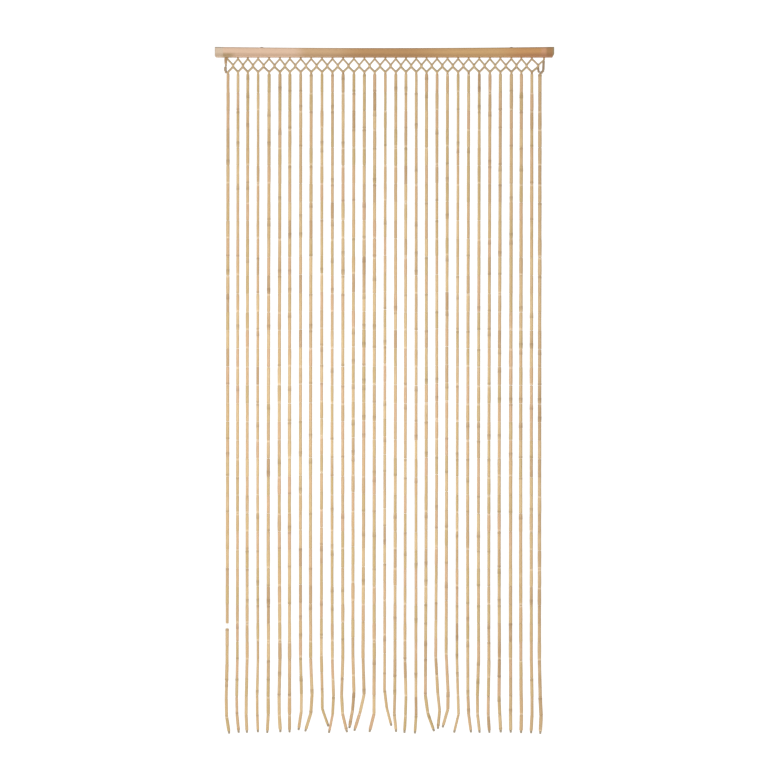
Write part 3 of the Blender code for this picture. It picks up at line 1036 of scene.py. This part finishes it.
# %% Bore the holes and let in the slots
HOLE_DIAMETER = 6.4 * MM
HOLE_DEPTH = 12 * MM
MARGIN = 4 * MM
PLATES = ("hanger_left", "hanger_right")
FIT_GAP = 0.3 * MM


def join_all(objects):
    bpy.ops.object.select_all(action="DESELECT")
    for obj in objects:
        obj.select_set(True)
    bpy.context.view_layer.objects.active = objects[0]
    bpy.ops.object.join()
    return objects[0]


def subtract(piece, cutter):
    apply_modifier(piece, "BOOLEAN", operation="DIFFERENCE", solver="EXACT", object=cutter)
    bpy.data.objects.remove(cutter)


drills = []
for x in roots:
    place = (x, curtain_plane, rail_low.z + (HOLE_DEPTH - MARGIN) / 2)
    radius, depth = HOLE_DIAMETER / 2, HOLE_DEPTH + MARGIN
    bpy.ops.mesh.primitive_cylinder_add(vertices=20, radius=radius, depth=depth, location=place)
    drills.append(bpy.context.object)
subtract(rail, join_all(drills))

for name in PLATES:
    low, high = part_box(name)
    low = Vector((low.x - FIT_GAP, low.y - FIT_GAP, low.z - FIT_GAP))
    high = Vector((high.x + FIT_GAP, rail_high.y + MARGIN, high.z + MARGIN))
    bpy.ops.mesh.primitive_cube_add(size=1, location=(low + high) / 2, scale=high - low)
    slot = bpy.context.object
    bpy.ops.object.transform_apply(location=False, rotation=False, scale=True)
    subtract(rail, slot)
rail.data.materials.clear()
rail.data.materials.append(wood_finish)
smooth(rail, 30)
print("rail faces:", len(rail.data.polygons))

# %% [markdown]
# ## The hangers
#
# Each hanger is a round-topped plate of thin steel. A disc is halved, the half is
# drawn down to a plate, and all its edges are broken.


# %% Model the hangers
PLATE_EDGE = 0.25 * MM


def model_hanger(name):
    low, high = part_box(name)
    radius = (high.x - low.x) / 2
    centre = Vector((low.x + radius, (low.y + high.y) / 2, high.z - radius))
    bpy.ops.object.select_all(action="DESELECT")
    bpy.ops.mesh.primitive_cylinder_add(
        vertices=64,
        radius=radius,
        depth=high.y - low.y,
        location=centre,
        rotation=(math.pi / 2, 0, 0),
    )
    plate = bpy.context.object
    plate.name = name + "_plate"
    bpy.ops.object.transform_apply(location=True, rotation=True, scale=True)
    bpy.ops.object.mode_set(mode="EDIT")
    slice_all(centre, (0, 0, -1), clear_outer=True, use_fill=True)
    pick("FACE", lambda point: point.z < centre.z + NEAR)
    down = low.z - centre.z
    bpy.ops.mesh.extrude_region_move(TRANSFORM_OT_translate={"value": (0, 0, down)})
    bpy.ops.object.mode_set(mode="OBJECT")
    apply_modifier(plate, "BEVEL", width=PLATE_EDGE, segments=2, angle_limit=math.radians(50))
    plate.data.materials.append(steel_finish)
    smooth(plate, 35)
    return plate


plates = {name: model_hanger(name) for name in PLATES}
print("hanger faces:", [len(plate.data.polygons) for plate in plates.values()])

# %% [markdown]
# ## Join the pieces to the frame
#
# Every piece rides on the one body, and the solids that the pieces stand in for are hidden.

# %% Ride and hide the solids
heading_pieces = [legs, small_beads, left_side, right_side, side_feet, heading_thread]
curtain_pieces = [*strands, tip_knots, strand_thread, *heading_pieces]
for piece in curtain_pieces:
    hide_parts("bead_curtain")
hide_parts("rail")
for name, plate in plates.items():
    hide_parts(name)
for piece in [*curtain_pieces, rail, *plates.values()]:
    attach(piece, "root")

# %% [markdown]
# ## Studio
#
# The photograph has a pure white ground and almost no shadow, and its strands are
# lightest about half way down. So one small soft light stands close in front, at
# that height, and a tall one further off to the left. A pale floor lies below the
# tips and lights the strands from there. The camera sees a brighter world than the
# one that lights the curtain, which keeps the ground white.

# %% Floor
FLOOR_DROP = 60 * MM
FLOOR_SIZE = 60
FLOOR_GLOW = 0.6

bpy.ops.object.select_all(action="DESELECT")
floor_level = frame_box[0].z - FLOOR_DROP
bpy.ops.mesh.primitive_plane_add(size=FLOOR_SIZE, location=(0, 0, floor_level))
floor = bpy.context.object
floor.name = "floor"
pale = Finish("floor_pale", Base_Color=(0.9, 0.9, 0.9, 1), Roughness=0.9)
pale.shader.inputs["Emission Color"].default_value = (1, 1, 1, 1)
pale.shader.inputs["Emission Strength"].default_value = FLOOR_GLOW
floor.data.materials.append(pale.material)
print("floor at, m:", round(floor_level, 3))

# %% World and lights
AMBIENT = 0.53
BACKGROUND = 1.1
LIGHT_LEVEL = -1.0

world = bpy.data.worlds.new("studio")
world.use_nodes = True
bpy.context.scene.world = world
sky = world.node_tree.nodes["Background"]
sky.inputs["Color"].default_value = (1, 1, 1, 1)
path = world.node_tree.nodes.new("ShaderNodeLightPath")
level = world.node_tree.nodes.new("ShaderNodeMapRange")
level.inputs["To Min"].default_value = AMBIENT
level.inputs["To Max"].default_value = BACKGROUND
world.node_tree.links.new(path.outputs["Is Camera Ray"], level.inputs["Value"])
world.node_tree.links.new(level.outputs["Result"], sky.inputs["Strength"])


def add_softbox(name, place, size, energy):
    """An area light that faces the curtain."""
    data = bpy.data.lights.new(name, "AREA")
    data.shape = "RECTANGLE"
    data.size, data.size_y = size
    data.energy = energy
    lamp = bpy.data.objects.new(name, data)
    lamp.location = place
    target = Vector((0, curtain_plane, LIGHT_LEVEL))
    lamp.rotation_euler = (target - Vector(place)).to_track_quat("-Z", "Y").to_euler()
    bpy.context.scene.collection.objects.link(lamp)


add_softbox("near_softbox", (-0.35, -1.5, LIGHT_LEVEL), (0.6, 0.6), 9.7)
add_softbox("side_softbox", (-4.5, -2.6, LIGHT_LEVEL), (1.5, 3.0), 30)
bpy.context.scene.view_settings.view_transform = "Standard"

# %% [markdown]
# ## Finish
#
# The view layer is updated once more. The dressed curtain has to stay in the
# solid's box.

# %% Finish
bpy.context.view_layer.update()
